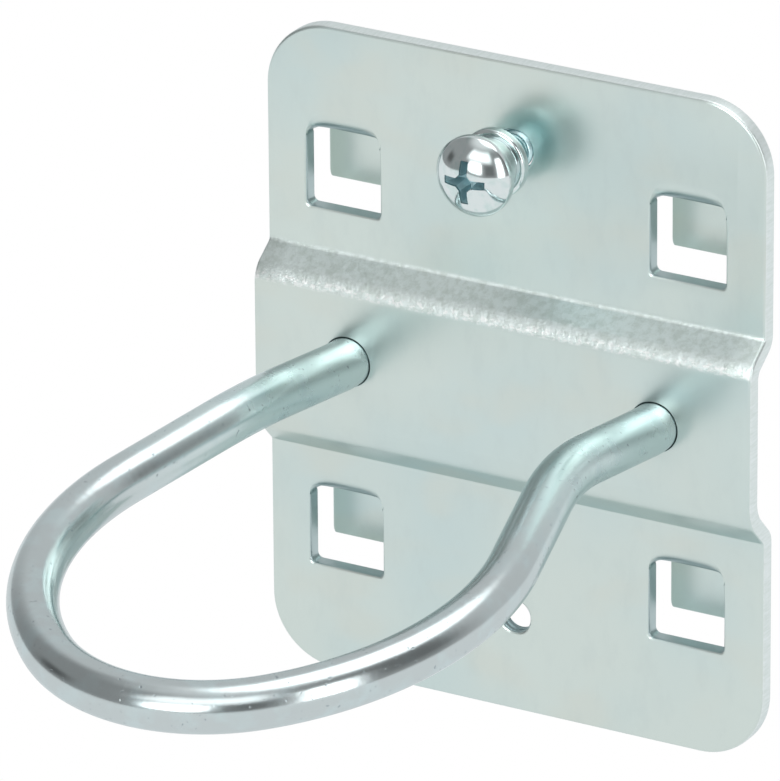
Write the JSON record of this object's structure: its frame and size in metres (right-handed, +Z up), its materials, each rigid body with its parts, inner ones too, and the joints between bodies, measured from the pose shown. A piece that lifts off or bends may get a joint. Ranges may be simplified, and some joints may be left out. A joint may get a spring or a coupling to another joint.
{
  "type": "hammer hook",
  "caption": "Folded sheet-metal holder with lanced hooks for a perforated tool panel, carrying a flared round wire loop for hanging a hammer and a pan-head clamping screw.",
  "frame": {"origin": "centre of the hook pattern on the sheet's rear plane, which lies against the panel", "axes": "+X to the right seen from the front, +Y into the panel, +Z up"},
  "size_m": [0.055, 0.0804, 0.068],
  "materials": {
    "plate_zinc": "satin zinc plating",
    "wire_zinc": "bright zinc plating",
    "screw_zinc": "bright zinc plating"
  },
  "bodies": {
    "hook": {"back_plate": "plate_zinc", "wire_loop": "wire_zinc"},
    "screw": {"clamp_screw": "screw_zinc"}
  },
  "joints": [
    {"name": "screw_travel", "type": "slide", "parent": "hook", "child": "screw", "axis": [0, 1, 0], "range_m": [-0.0008, 0.0029]}
  ]
}
